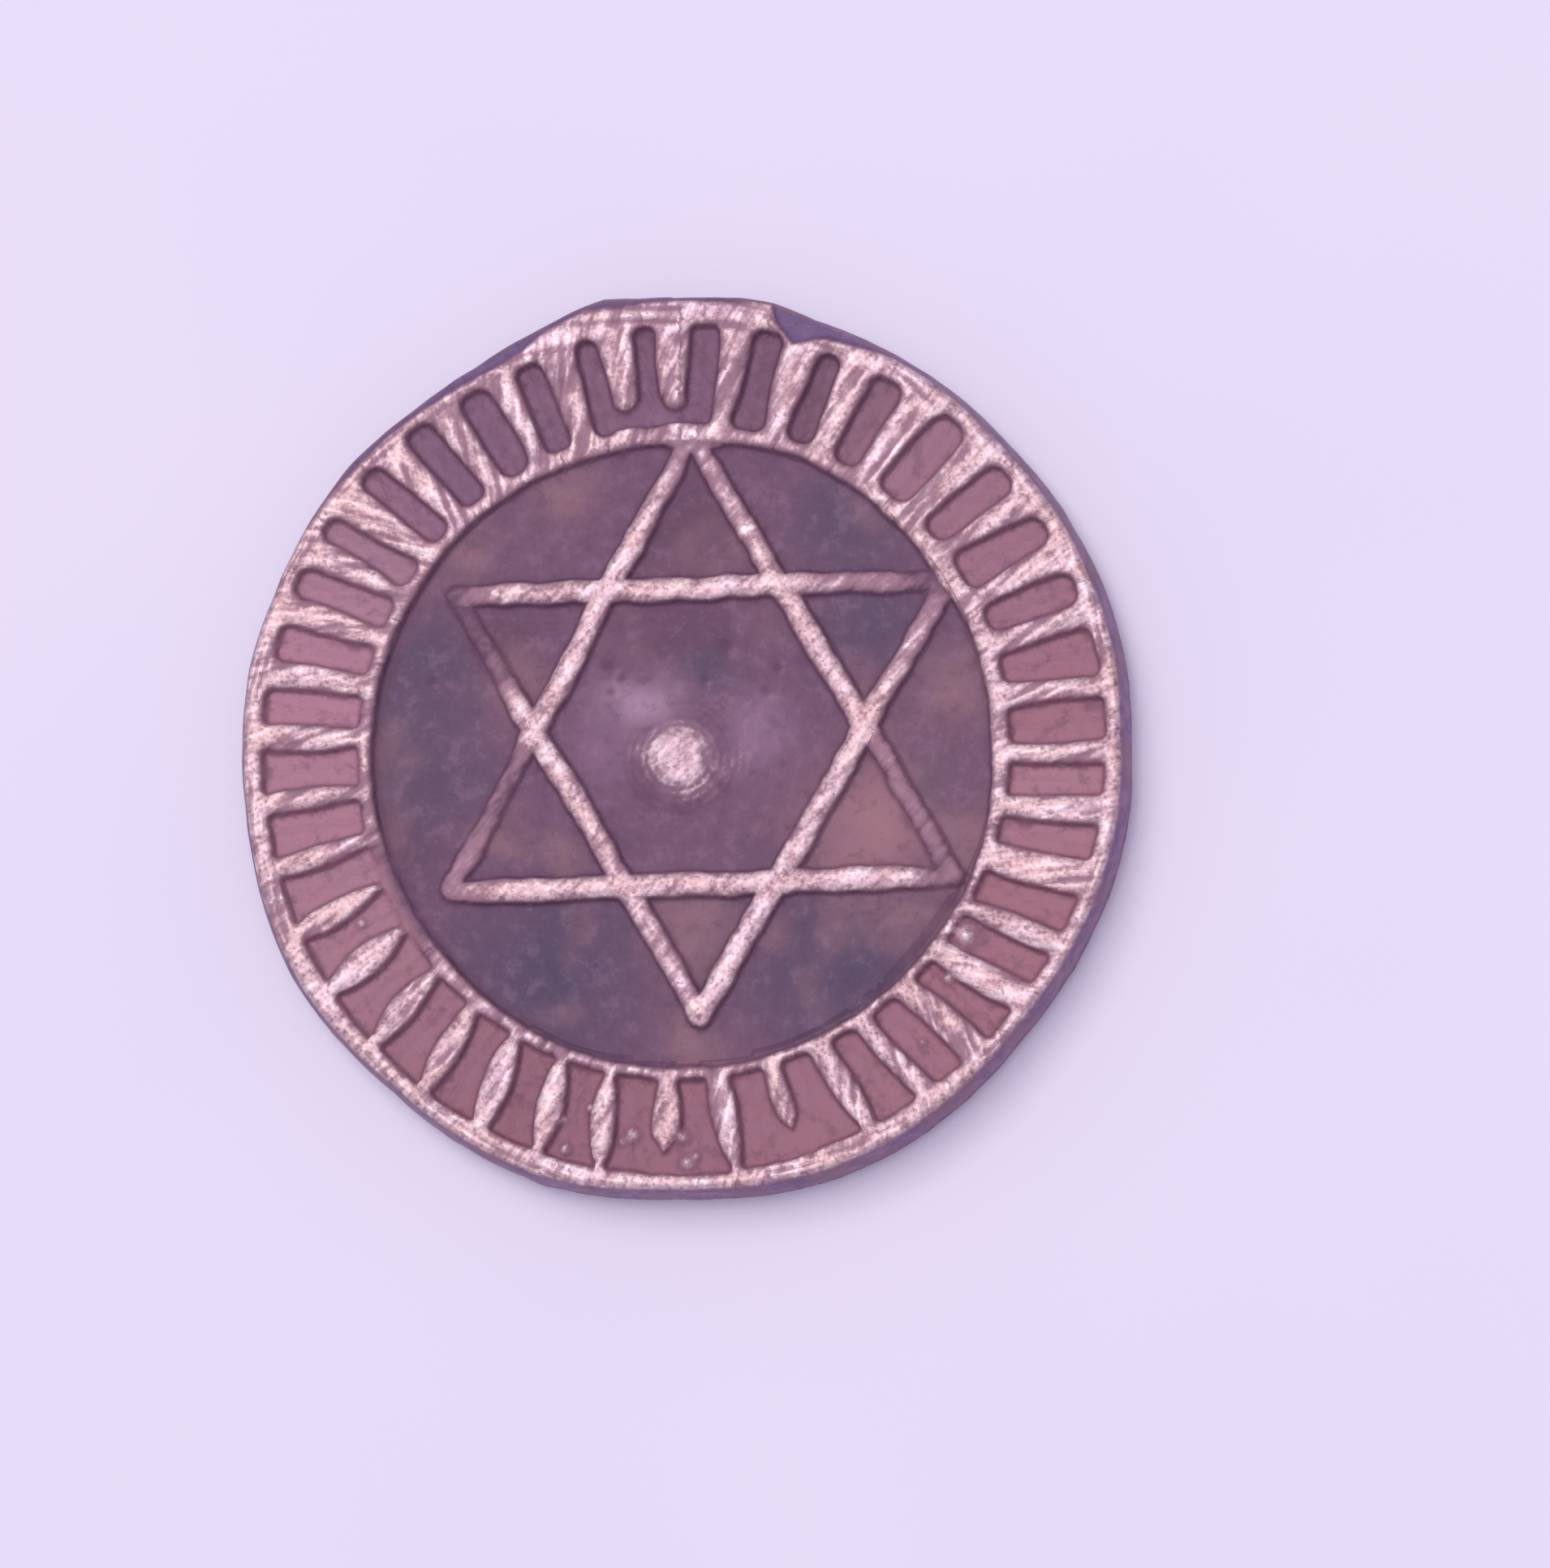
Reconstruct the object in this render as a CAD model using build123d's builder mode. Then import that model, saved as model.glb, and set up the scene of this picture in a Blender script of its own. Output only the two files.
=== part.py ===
"""Cast fare token: a ribbed border round a sunken field with a six-pointed star and a centre boss.

The token is one piece of copper alloy. It lies on its reverse in the XY plane, obverse up, with the
origin under the centre of the flan and the stub of its casting runner towards +Y.
"""

import math
import os

from build123d import *

# Flan, the blank disc. Its edge bulges between the faces, widest at half its height.
flan_radius = 11.5
face_radius = 11.3
thickness = 2.0

# Stub of the casting runner, clipped off nearly flush at the top of the flan.
stub_reach = 11.65
stub_top_width = 4.9
stub_root_width = 6.3
stub_root_height = 10.9
stub_corner = 0.5
stub_setback = 0.12

# Relief, the same on both faces.
relief = 0.33
rim_inner_radius = 10.84
ring_outer_radius = 8.34
ring_inner_radius = 7.94
wall_draft = 18.0

# Border pockets. The ribs between them are cut by hand, so the pockets widen from top to bottom.
pocket_count = 40
pocket_mean_width = 1.04
pocket_width_swing = 0.28
pocket_inner_width = 0.86
pocket_corner = 0.22
pocket_first_angle = 1.4

# Star, two crossed triangles of thin bars, struck a little off centre.
star_centre = (0.39, 0.35)
star_radius = 7.5
star_turn = 1.2
bar_width = 0.58
bar_wear = 0.03

# Boss, a low worn dome in the middle of the star.
boss_centre = (0.11, -0.19)
boss_radius = 1.5
boss_height = 0.3
boss_root = 0.3
boss_dome_radius = (boss_radius**2 + boss_height**2) / (2 * boss_height)
boss_half_angle = math.degrees(math.asin(boss_radius / boss_dome_radius))

obverse = Plane.XY.offset(thickness)
obverse_field = Plane.XY.offset(thickness - relief)
reverse = Plane(origin=(0, 0, 0), x_dir=(-1, 0, 0), z_dir=(0, 0, -1))


def end_span(width, radius):
    """Return the angle, in degrees, that a pocket's end of this width covers at this radius."""
    return 2 * math.degrees(math.asin(width / 2 / radius))


def pocket_sketch(face):
    """Return the border pockets of one face, wide at the rim and narrower at the ring."""
    inner_span = end_span(pocket_inner_width, ring_outer_radius)
    with BuildSketch(face) as pockets:
        for index in range(pocket_count):
            clock_angle = pocket_first_angle + index * 360 / pocket_count
            outer_width = pocket_mean_width - pocket_width_swing * math.cos(math.radians(clock_angle))
            outer_span = end_span(outer_width, rim_inner_radius)
            middle = 90 - clock_angle
            with BuildLine():
                outer_end = CenterArc((0, 0), rim_inner_radius, middle - outer_span / 2, outer_span)
                inner_end = CenterArc((0, 0), ring_outer_radius, middle - inner_span / 2, inner_span)
                Line(outer_end @ 0, inner_end @ 0)
                Line(outer_end @ 1, inner_end @ 1)
            make_face()
        fillet(pockets.vertices(), pocket_corner)
    return pockets.sketch


def field_sketch(face):
    """Return the round field inside the inner ring of one face."""
    with BuildSketch(face) as field:
        Circle(ring_inner_radius)
    return field.sketch


def bar_band():
    """Return one triangle of the star: its sides lie bar_width apart, so its corners twice that."""
    with BuildSketch() as band:
        RegularPolygon(star_radius + bar_width, 3, rotation=90)
        RegularPolygon(star_radius - bar_width, 3, rotation=90, mode=Mode.SUBTRACT)
    return band.sketch


with BuildSketch(Plane.XZ) as flan_section:
    with BuildLine():
        edge = ThreePointArc((face_radius, 0), (flan_radius, thickness / 2), (face_radius, thickness))
        Polyline(edge @ 1, (0, thickness), (0, 0), edge @ 0)
    make_face()

with BuildSketch(Plane.XY.offset(stub_setback)) as stub:
    with BuildLine():
        Polyline(
            (-stub_root_width / 2, stub_root_height),
            (-stub_top_width / 2, stub_reach),
            (stub_top_width / 2, stub_reach),
            (stub_root_width / 2, stub_root_height),
            close=True,
        )
    make_face()
    fillet(stub.vertices().group_by(Axis.Y)[-1], stub_corner)

triangle = bar_band()
with BuildSketch(obverse_field) as star:
    with Locations(star_centre):
        add(triangle, rotation=star_turn)
        add(triangle, rotation=star_turn + 180)

with BuildSketch(Plane.XZ.offset(-boss_centre[1])) as boss_profile:
    with BuildLine():
        dome_centre = (boss_centre[0], thickness - relief + boss_height - boss_dome_radius)
        dome = CenterArc(dome_centre, boss_dome_radius, 90 - boss_half_angle, boss_half_angle)
        root_inside = (boss_centre[0], thickness - relief - boss_root)
        root_outside = (boss_centre[0] + boss_radius, thickness - relief - boss_root)
        Polyline(dome @ 1, root_inside, root_outside, dome @ 0)
    make_face()

obverse_pockets = pocket_sketch(obverse)
reverse_pockets = pocket_sketch(reverse)
obverse_disc = field_sketch(obverse)
reverse_disc = field_sketch(reverse)

with BuildPart() as token:
    revolve(flan_section.sketch, axis=Axis.Z)
    extrude(stub.sketch, amount=thickness - 2 * stub_setback)

    # Obverse: border pockets, sunken field, then the star and the boss standing on the field.
    extrude(obverse_pockets, amount=-relief, taper=wall_draft, mode=Mode.SUBTRACT)
    extrude(obverse_disc, amount=-relief, taper=wall_draft, mode=Mode.SUBTRACT)
    extrude(star.sketch, amount=relief - bar_wear, taper=wall_draft)
    revolve(boss_profile.sketch, axis=Axis((boss_centre[0], boss_centre[1], 0), (0, 0, 1)))

    # Reverse: the same border round a plain sunken field.
    extrude(reverse_pockets, amount=-relief, taper=wall_draft, mode=Mode.SUBTRACT)
    extrude(reverse_disc, amount=-relief, taper=wall_draft, mode=Mode.SUBTRACT)

token.part.label = "token"
os.makedirs("parts", exist_ok=True)
export_step(token.part, "parts/token.step")
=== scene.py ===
"""Looks of the cast fare token: one closed mesh stands in for the CAD node "token".

The mesh is built from height functions of the two faces, in millimetres: a floor, the border with its
hand-cut pockets, the inner ring, the star, the boss and the runner stub. A coarse closed mesh is split
where the surface bends, so its triangles are small on walls and tool marks and large on plain floor. The
same functions give each vertex its wear, grime with painted shade, and patina, which the one metal
material reads.
"""

import math

import bpy
import numpy as np
from mathutils import Matrix, Vector


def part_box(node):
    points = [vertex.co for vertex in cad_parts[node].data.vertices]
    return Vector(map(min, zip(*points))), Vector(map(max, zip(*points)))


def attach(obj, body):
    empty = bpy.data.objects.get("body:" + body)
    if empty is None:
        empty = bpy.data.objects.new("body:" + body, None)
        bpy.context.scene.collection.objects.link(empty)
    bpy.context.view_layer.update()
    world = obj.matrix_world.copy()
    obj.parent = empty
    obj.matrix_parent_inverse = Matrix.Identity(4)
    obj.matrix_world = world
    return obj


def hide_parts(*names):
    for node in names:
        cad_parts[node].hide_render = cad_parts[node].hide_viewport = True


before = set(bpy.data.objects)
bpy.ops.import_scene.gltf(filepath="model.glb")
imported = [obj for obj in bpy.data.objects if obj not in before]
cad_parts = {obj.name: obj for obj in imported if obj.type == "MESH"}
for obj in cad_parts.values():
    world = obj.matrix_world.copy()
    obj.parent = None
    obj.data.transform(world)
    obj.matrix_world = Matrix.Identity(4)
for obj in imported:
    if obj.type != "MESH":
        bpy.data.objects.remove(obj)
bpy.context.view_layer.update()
_, token_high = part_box("token")

MM = 0.001

# ---------------------------------------------------------------------------------------------------
# Sizes in millimetres, angles in degrees clockwise from the runner stub at the top
# ---------------------------------------------------------------------------------------------------
THICKNESS = token_high.z / MM
FLAN_RADIUS = token_high.x / MM
STUB_REACH = token_high.y / MM
FACE_INSET = 0.24
RELIEF = 0.33
WALL_WIDTH = 0.13

BORDER_CENTRE = (0.16, -0.18)
POCKET_OUTER_RADIUS = 10.8
POCKET_INNER_RADIUS = 8.32
RING_INNER_RADIUS = 7.93

# Radius of the flan at its parting line. The blank is a little flat on both sides of the stub.
OUTLINE = [
    (0, 11.63), (4, 11.65), (8, 11.7), (12.5, 11.67), (18, 11.49), (30, 11.44), (50, 11.37), (60, 11.46),
    (80, 11.55), (90, 11.51), (100, 11.6), (110, 11.61), (130, 11.52), (150, 11.7), (160, 11.7), (168, 11.62),
    (174, 11.53), (180, 11.49), (186, 11.53), (192, 11.62), (198, 11.64), (205, 11.57), (220, 11.42),
    (240, 11.56), (262, 11.35), (275, 11.37), (281, 11.4), (291, 11.32), (311, 11.36), (322, 11.23),
    (332, 11.26), (341, 11.46), (348, 11.71), (350.6, 11.78), (355, 11.67),
]  # fmt: skip

# Border pockets of the obverse, cut by hand: middle angle, then width at the rim, half way and at the ring.
POCKETS = [
    (3.2, 0.80, 0.80, 0.65), (11.9, 0.85, 0.75, 0.95), (21.1, 0.60, 0.70, 0.80), (29.9, 0.90, 0.80, 0.75),
    (40.3, 0.90, 1.00, 0.95), (50.2, 0.85, 0.85, 0.75), (59.0, 0.75, 1.00, 1.10), (68.2, 0.85, 0.90, 0.75),
    (77.3, 1.30, 1.05, 0.75), (86.8, 1.05, 1.15, 0.85), (95.5, 0.90, 0.85, 0.90), (104.3, 0.95, 0.80, 0.75),
    (114.3, 1.05, 0.80, 0.85), (122.8, 0.90, 0.80, 0.85), (131.8, 1.05, 0.70, 0.75), (141.2, 0.85, 0.95, 0.75),
    (149.7, 1.25, 0.85, 0.70), (159.0, 1.60, 1.00, 0.80), (168.0, 1.60, 0.95, 0.95), (177.4, 1.60, 0.85, 0.80),
    (187.0, 1.50, 0.95, 1.20), (195.9, 1.50, 0.75, 1.15), (204.6, 1.40, 0.80, 1.15), (213.8, 1.45, 0.80, 1.10),
    (223.0, 1.50, 0.90, 1.10), (232.2, 1.55, 0.80, 1.20), (241.5, 1.30, 0.75, 1.15), (250.1, 1.30, 0.85, 1.05),
    (259.0, 1.15, 0.95, 0.95), (268.0, 1.15, 0.90, 1.10), (277.3, 0.95, 0.90, 0.90), (286.3, 1.00, 0.80, 0.90),
    (295.1, 0.80, 0.75, 0.85), (303.2, 0.70, 0.65, 0.90), (312.0, 0.70, 0.70, 0.75), (320.7, 0.80, 0.80, 0.80),
    (329.7, 0.85, 0.90, 0.75), (338.1, 0.80, 0.75, 0.80), (346.8, 0.55, 0.65, 0.60), (354.8, 0.65, 0.55, 0.75),
]  # fmt: skip

# Round the border: how far a pocket's rim end lies from its ring end, in degrees, its corner radius, and
# the radius of its rim end.
POCKET_LEAN = [
    (0, 0), (12, 0.6), (25, 0), (45, 0.6), (80, 0.6), (95, -1.2), (145, -1.6), (185, -0.8), (205, -1.8),
    (240, -1.8), (255, -0.2), (300, -1.0), (320, -0.5),
]  # fmt: skip
POCKET_CORNER = [(0, 0.2), (18, 0.33), (70, 0.33), (85, 0.17), (270, 0.17), (290, 0.3), (350, 0.3)]
POCKET_REACH = [
    (0, 10.96), (12, 10.9), (21, 10.74), (40, 10.8), (125, 10.76), (145, 10.7), (200, 10.76), (260, 10.78),
    (286, 10.88), (300, 10.96), (320, 10.9), (332, 10.74), (340, 10.76), (350, 10.88),
]  # fmt: skip

# Ribs that stop short: middle angle, then the radii between which the rib is missing. Those missing
# beyond the middle of the border end in a point, and the others in a round tip.
BORDER_MIDDLE = 9.0
SHORT_RIBS = [(163.5, 10.0, 10.72), (182.2, 10.15, 10.72), (350.8, 8.38, 8.85), (359.0, 8.38, 8.75)]

# Star: the corners of its two triangles, and the ends of each side with how well it is struck and
# polished at shares of its length. Two sides end a little beside their corner.
# The last, short side is the metal that fills the corner between the top of the star and the ring.
TOP, LOWER_LEFT, LOWER_RIGHT = (0.26, 7.62), (-5.62, -3.72), (7.12, -3.5)
UPPER_LEFT, UPPER_RIGHT, BOTTOM = (-5.66, 3.86), (7.02, 4.02), (0.66, -6.88)
STAR_SIDES = [
    (TOP, (-5.72, -3.66), [
        (0, 0.5), (0.08, 0.62), (0.2, 1.0), (0.64, 1.0), (0.71, 0.34), (0.82, 0.3), (0.93, 0.52), (1, 0.4),
    ]),
    ((0.55, 7.62), LOWER_RIGHT, [
        (0, 0.45), (0.1, 0.6), (0.22, 0.7), (0.36, 1.0), (0.64, 1.0), (0.7, 0.42), (1, 0.32),
    ]),
    (LOWER_LEFT, LOWER_RIGHT, [(0, 0.4), (0.05, 0.8), (0.2, 1.0), (0.91, 1.0), (0.95, 0.4), (1, 0.15)]),
    (UPPER_LEFT, UPPER_RIGHT, [
        (0, 0.2), (0.05, 0.5), (0.1, 0.8), (0.3, 1.0), (0.7, 1.0), (0.76, 0.5), (0.88, 0.45), (0.95, 0.25),
        (1, 0.12),
    ]),
    (UPPER_LEFT, BOTTOM, [(0, 0.12), (0.2, 0.28), (0.26, 0.9), (0.5, 0.9), (0.62, 0.75), (1, 0.75)]),
    (UPPER_RIGHT, BOTTOM, [(0, 0.1), (0.05, 0.4), (0.1, 0.6), (0.24, 0.65), (0.3, 1.0), (1, 0.95)]),
    ((-0.1, 7.78), (1.0, 7.78), [(0, 0.5), (1, 0.4)]),
]  # fmt: skip
BAR_HALF_WIDTH = 0.32

# Boss, with turned rings round it that show best on its right.
BOSS_CENTRE = (0.14, -0.37)
BOSS_RADIUS = 1.5
BOSS_HEIGHT = 0.28
TURNED_SIDE = (1.35, -0.1)
TURNED_PITCH = 0.19
TURNED_REACH = 2.6

# Round the border: how far the ring's inner edge lies outside its radius.
RING_SHIFT = [
    (0, -0.12), (20, 0.03), (35, -0.02), (58, -0.18), (68, -0.03), (78, -0.1), (95, -0.02), (115, 0.13),
    (150, 0.12), (200, 0.08), (235, -0.05), (260, 0), (310, 0.05), (345, -0.08),
]  # fmt: skip

# Round the border: how much of the ring is left standing, how polished the ring and the rest of the
# border are, and the radius beyond which the rim drops to a low dark shoulder.
RING_STANDING = [
    (0, 0.9), (25, 0.8), (45, 0.95), (60, 1.0), (150, 1.0), (190, 0.9), (200, 0.75), (215, 0.7), (228, 0.9),
    (236, 0.35), (250, 0.3), (257, 0.9), (300, 1.0), (330, 0.9),
]  # fmt: skip
RING_POLISH = [
    (0, 0.75), (20, 0.6), (40, 0.85), (60, 1.0), (150, 1.0), (190, 0.8), (215, 0.65), (250, 0.5), (265, 0.75),
    (300, 0.8), (345, 0.8),
]  # fmt: skip
RIM_POLISH = [
    (0, 0.72), (12, 0.66), (18, 0.68), (26, 0.9), (32, 0.84), (60, 1.0), (270, 1.0), (310, 0.88), (335, 0.8),
]  # fmt: skip
RIM_REACH = [
    (0, 11.56), (8, 11.56), (11.6, 11.6), (12.6, 11.15), (15.5, 10.76), (19, 11.02), (25, 11.2), (31, 11.32),
    (38, 11.5), (44, 12), (292, 12), (300, 11.4), (311, 11.25), (321, 11.16), (331, 11.04), (338, 11.12),
    (342, 11.36), (346, 11.5), (350, 11.6), (355, 11.56),
]  # fmt: skip

# Casting nodules in the pockets: angle, radius, size and height.
NODULES = [
    (124.0, 8.9, 0.3, 0.3), (131.0, 9.2, 0.15, 0.22), (178.6, 9.95, 0.16, 0.22), (178.2, 10.6, 0.18, 0.24),
    (176.9, 10.45, 0.11, 0.18), (186.0, 9.95, 0.18, 0.24), (187.4, 10.15, 0.11, 0.16),
    (196.6, 9.9, 0.13, 0.18), (195.0, 10.6, 0.14, 0.2), (193.0, 9.45, 0.1, 0.14), (241.0, 9.2, 0.12, 0.16),
    (140.6, 9.9, 0.1, 0.16),
]  # fmt: skip

# Pits in the obverse field: x, y and radius.
PIT_DEPTH = 0.07
PITS = [
    (-1.75, 2.05, 0.15), (-1.4, 1.7, 0.11), (-1.65, 1.35, 0.1), (1.25, 2.5, 0.16), (0.75, 1.6, 0.08),
    (2.6, 1.9, 0.11), (2.3, 1.3, 0.09), (-4.9, 2.6, 0.07), (-6.3, 1.7, 0.09), (2.9, -2.2, 0.06),
    (-2.4, -1.2, 0.06),
]  # fmt: skip


def srgb(red, green, blue):
    """Return a linear colour from display values of 0 to 255."""
    share = np.array([red, green, blue]) / 255
    return np.where(share <= 0.04045, share / 12.92, ((share + 0.055) / 1.055) ** 2.4)


# Patina of the field: its purple ground, and x, y, radius and colour of the obverse's soft patches.
FIELD_GROUND = srgb(112, 76, 104)
SLATE = srgb(84, 67, 95)
DEEP_SLATE = srgb(76, 62, 92)
PLUM = srgb(98, 63, 89)
BROWN = srgb(142, 102, 114)
ROSE = srgb(164, 116, 126)
BRIGHT_HALO = srgb(176, 142, 168)
HALO = srgb(146, 112, 142)
FAINT_HALO = srgb(132, 96, 126)
PATCHES = [
    (0.2, 5.6, 1.3, PLUM), (0.3, 2.9, 1.3, PLUM), (-4.3, 2.7, 1.0, PLUM), (-6.9, -2.8, 1.2, PLUM),
    (-3.2, -5.8, 2.4, DEEP_SLATE), (3.9, -5.4, 2.4, DEEP_SLATE), (-7.0, -0.4, 1.9, SLATE),
    (-6.4, 2.2, 1.1, SLATE), (5.0, 3.0, 1.3, SLATE), (6.2, -1.1, 0.9, SLATE), (4.4, 5.6, 1.3, SLATE),
    (0.9, 1.9, 0.7, SLATE), (-4.1, 1.4, 0.7, BROWN), (-4.4, -2.4, 0.6, BROWN), (-2.8, -2.8, 0.6, BROWN),
    (4.9, -2.2, 1.6, ROSE),
    (0.4, -4.7, 1.1, BROWN), (6.9, 1.4, 1.0, BROWN), (7.2, -2.4, 0.9, BROWN), (5.9, -4.6, 0.5, BROWN),
    (-5.4, 4.9, 0.7, BROWN), (0.3, -7.4, 0.6, BROWN), (-2.8, 6.6, 0.8, BROWN),
    (-0.9, 0.9, 0.85, BRIGHT_HALO), (1.9, 0.3, 0.9, HALO), (-2.2, -0.3, 0.9, FAINT_HALO),
]  # fmt: skip
SHOULDER = srgb(112, 88, 130)

# Round the border: the colour of the pocket floors.
POCKET_TINTS = [
    (0, srgb(128, 88, 116)), (20, srgb(118, 80, 104)), (30, srgb(140, 98, 118)), (39, srgb(158, 112, 132)),
    (86, srgb(160, 108, 125)), (95, srgb(172, 122, 138)), (114, srgb(163, 110, 126)),
    (150, srgb(158, 108, 124)), (206, srgb(148, 98, 115)), (240, srgb(166, 118, 134)),
    (280, srgb(178, 126, 146)), (302, srgb(166, 122, 142)), (312, srgb(146, 104, 128)),
    (320, srgb(128, 90, 118)), (345, srgb(130, 90, 116)),
]  # fmt: skip


# ---------------------------------------------------------------------------------------------------
# Small maths
# ---------------------------------------------------------------------------------------------------
def smooth(value, start=0.0, end=1.0):
    """Return 0 before start, 1 after end, and a smooth step between them."""
    share = np.clip((value - start) / (end - start), 0, 1)
    return share * share * (3 - 2 * share)


def round_the_clock(knots, angle):
    """Return the knots' value at each angle, in degrees, going round without a step."""
    places, values = zip(*knots)
    values = np.array(values, float)
    if values.ndim == 1:
        return np.interp(angle, places, values, period=360)
    return np.stack([np.interp(angle, places, column, period=360) for column in values.T], axis=-1)


class Noise:
    """Smooth random field, the same on every run."""

    SIZE = 256

    def __init__(self, seed):
        self.table = np.random.default_rng(seed).uniform(-1, 1, (self.SIZE, self.SIZE))

    def __call__(self, x, y, grain, octaves=1):
        total = np.zeros(np.shape(x))
        for octave in range(octaves):
            total += self.layer(x, y, grain / 2**octave) / 2**octave
        return total

    def layer(self, x, y, grain):
        """Return values from -1 to 1 that change over about one grain."""
        across, up = np.asarray(x) / grain + 37.3, np.asarray(y) / grain + 11.7
        column, row = np.floor(across).astype(int), np.floor(up).astype(int)
        s, t = smooth(across - column), smooth(up - row)
        column, row = column % self.SIZE, row % self.SIZE
        right, above = (column + 1) % self.SIZE, (row + 1) % self.SIZE
        low = self.table[row, column] * (1 - s) + self.table[row, right] * s
        high = self.table[above, column] * (1 - s) + self.table[above, right] * s
        return low * (1 - t) + high * t


def clock_and_radius(x, y, centre=(0.0, 0.0)):
    """Return the clockwise angle from the top, in degrees, and the radius about a centre."""
    across, up = x - centre[0], y - centre[1]
    return np.degrees(np.arctan2(across, up)) % 360, np.hypot(across, up)


def wall(distance):
    """Return how far up its wall a point is, 0 to 1, from its distance inside the raised area."""
    return smooth(distance, -0.4 * WALL_WIDTH, 0.6 * WALL_WIDTH)


def on_clock(angle, radius):
    """Return the place at a clockwise angle, in degrees, and a radius."""
    return radius * math.sin(math.radians(angle)), radius * math.cos(math.radians(angle))


def beyond(radius, edge, blur):
    """Return 0 inside an edge and 1 outside it, with a smooth step of blur to each side."""
    return smooth(radius, edge - blur, edge + blur)


def line_at(distance, place, width):
    """Return a soft line, 1 where the distance is at the place and 0 well beside it."""
    return np.exp(-(((distance - place) / width) ** 2))


def blend(ground, colour, share):
    """Return colours that go from ground to colour by each point's share."""
    return ground * (1 - share[..., None]) + colour * share[..., None]


def turned(x, y, bearing):
    """Return places across and along a clockwise bearing from +Y, in radians."""
    return x * np.cos(bearing) - y * np.sin(bearing), x * np.sin(bearing) + y * np.cos(bearing)


def near(x, y, centre, radius):
    """Return a soft round spot, 1 at its centre and 0 well outside its radius."""
    return np.exp(-((x - centre[0]) ** 2 + (y - centre[1]) ** 2) / radius**2)


# ---------------------------------------------------------------------------------------------------
# Faces: every function takes points in millimetres and works on whole arrays
# ---------------------------------------------------------------------------------------------------
# Bearing of the tool strokes, how far one rib's noise lies from the next one's, and how soft the ends
# of short ribs are at their tip and where they are cut square.
STROKE_BEARING = math.pi / 4
RIB_STEP = 3.7
TIP_BLUR = 0.12
END_BLUR = 0.05


class Border:
    """Ribbed border of one face, read from its list of pockets."""

    def __init__(self, pockets, lean, corner, reach, short_ribs, seed):
        self.middle, self.outer, self.waist, self.inner = np.array(pockets, float).T
        self.lean = round_the_clock(lean, self.middle)
        self.corner = round_the_clock(corner, self.middle)
        self.reach = round_the_clock(reach, self.middle)
        self.short_ribs = short_ribs
        self.noise = Noise(seed)
        self.streak_noise = Noise(seed + 50)
        following = np.append(self.middle[1:], self.middle[0] + 360)
        self.rib_middle = (self.middle + following) / 2
        rib = np.radians(self.rib_middle)
        off_rib = (STROKE_BEARING - rib + np.pi / 2) % np.pi - np.pi / 2
        self.slant = rib + 0.6 * np.clip(off_rib, -0.7, 0.7)

    def pocket_depth(self, x, y):
        """Return the distance inside the nearest pocket's outline, negative on the metal round it."""
        angle, radius = clock_and_radius(x, y, BORDER_CENTRE)
        first_rib = self.rib_middle[-1] - 360
        index = np.searchsorted(self.rib_middle, (angle - first_rib) % 360 + first_rib) % len(self.middle)
        half_length = (self.reach[index] - POCKET_INNER_RADIUS) / 2
        along = radius - POCKET_INNER_RADIUS - half_length
        share = np.clip(along / half_length, -1, 1)
        off_middle = (angle - self.middle[index] - self.lean[index] * share / 2 + 180) % 360 - 180
        across = radius * np.sin(np.radians(off_middle))
        outer, waist, inner = self.outer[index], self.waist[index], self.inner[index]
        width = waist + share * (outer - inner) / 2 + share**2 * ((outer + inner) / 2 - waist)
        corner = np.minimum(self.corner[index], width / 2 - 0.02)
        side = np.abs(across) - (width / 2 - corner)
        end = np.abs(along) - (half_length - corner)
        past_corner = np.hypot(np.maximum(side, 0), np.maximum(end, 0))
        outside = past_corner + np.minimum(np.maximum(side, end), 0) - corner
        return 0.03 * self.noise(x, y, 0.8, 2) - 0.03 - outside

    def missing_rib(self, x, y):
        """Return 1 where a rib stops short, and 0 elsewhere."""
        angle, radius = clock_and_radius(x, y, BORDER_CENTRE)
        gone = np.zeros(np.shape(x))
        for middle, start, end in self.short_ribs:
            off_middle = np.abs((angle - middle + 180) % 360 - 180) * np.radians(1) * radius
            if start > BORDER_MIDDLE:
                pointed = radius + 1.2 * off_middle
                stretch = beyond(pointed, start, TIP_BLUR) * (1 - beyond(radius, end, END_BLUR))
            else:
                rounded = radius - 1.6 * off_middle**2
                stretch = beyond(radius, start, END_BLUR) * (1 - beyond(rounded, end, TIP_BLUR))
            gone = np.maximum(gone, stretch * (1 - smooth(off_middle, 0.4, 0.55)))
        return gone

    def streaks(self, x, y):
        """Return the tool marks that cross each rib aslant and follow the rim, about -1 to 1."""
        angle, radius = clock_and_radius(x, y, BORDER_CENTRE)
        index = np.searchsorted(self.middle, angle) - 1
        on_rib = self.marks(x, y, self.slant[index], index * RIB_STEP)
        round_rim = np.radians(angle) * radius
        on_rim = self.marks(radius + 0.12 * np.radians(angle) * radius, round_rim, 0.0, 0.0)
        return on_rib + (on_rim - on_rib) * smooth(radius, 10.6, 10.95)

    def marks(self, x, y, bearing, offset):
        """Return long thin marks that run at a clockwise bearing from +Y."""
        across, along = turned(x, y, bearing)
        return self.streak_noise(across + offset, along / 7, 0.17, 2)

    def strokes(self, x, y):
        """Return places across and along the tool strokes, which lie aslant on each rib."""
        angle, radius = clock_and_radius(x, y, BORDER_CENTRE)
        index = np.searchsorted(self.middle, angle) - 1
        on_border = radius > RING_INNER_RADIUS
        across, along = turned(x, y, np.where(on_border, self.slant[index], STROKE_BEARING))
        return across + np.where(on_border, index * RIB_STEP, 0), along


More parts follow.
